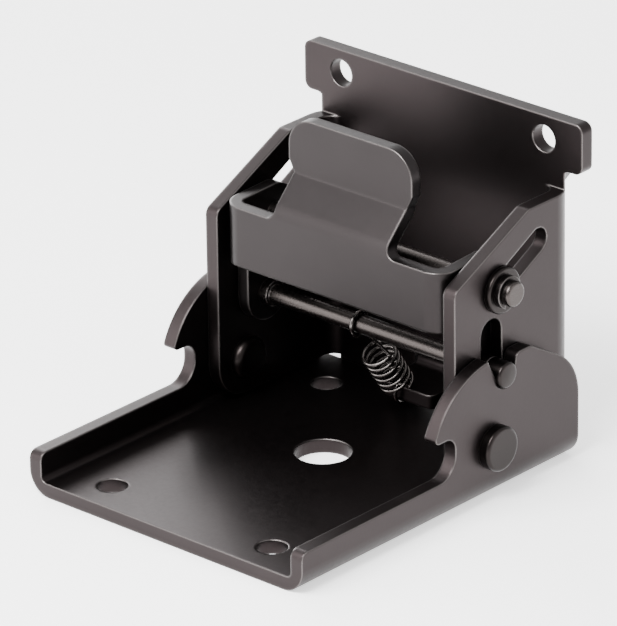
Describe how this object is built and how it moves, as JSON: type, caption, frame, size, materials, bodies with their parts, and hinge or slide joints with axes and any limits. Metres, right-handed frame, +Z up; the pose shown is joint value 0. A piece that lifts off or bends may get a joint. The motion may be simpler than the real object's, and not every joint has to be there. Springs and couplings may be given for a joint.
{
  "type": "folding table leg bracket",
  "caption": "Self-locking folding bracket between a table leg and a tabletop: a low leg channel hinged to a headed table plate, with a sprung finger lever and lock rod.",
  "frame": {"origin": "middle of the bounding box on the underside of the leg channel", "axes": "+Y from the open front of the leg channel to the table plate, +Z up from the leg channel's base, +X across"},
  "size_m": [0.0512, 0.0572, 0.0472],
  "materials": {
    "leg_plating": "dark bronze plated steel, semi-gloss",
    "table_plating": "dark bronze plated steel, semi-gloss",
    "lever_plating": "dark bronze plated steel, semi-gloss",
    "rod_plating": "dark plated turned steel, glossy",
    "spring_wire": "dark plated spring wire"
  },
  "bodies": {
    "leg": {"leg_channel": "leg_plating", "pivot_rivet_left": "rod_plating", "pivot_rivet_right": "rod_plating"},
    "bracket": {"table_bracket": "table_plating", "return_spring": "spring_wire"},
    "lever": {"release_lever": "lever_plating", "lock_rod": "rod_plating", "guide_rod": "rod_plating", "guide_washer_left": "rod_plating", "guide_washer_right": "rod_plating", "guide_clip_left": "rod_plating", "guide_clip_right": "rod_plating"}
  },
  "joints": [
    {"name": "leg_fold", "type": "hinge", "parent": "leg", "child": "bracket", "pos_m": [0, 0.00905, 0.00765], "axis": [1, 0, 0], "range_deg": [0, 90]},
    {"name": "latch_release", "type": "hinge", "parent": "bracket", "child": "lever", "pos_m": [0, 0.02063, 0.0198], "axis": [-1, 0, 0], "range_deg": [0, 31], "stiffness_Nm_per_rad": 0.04, "springref_deg": -34.38, "deforming": ["return_spring"]}
  ]
}
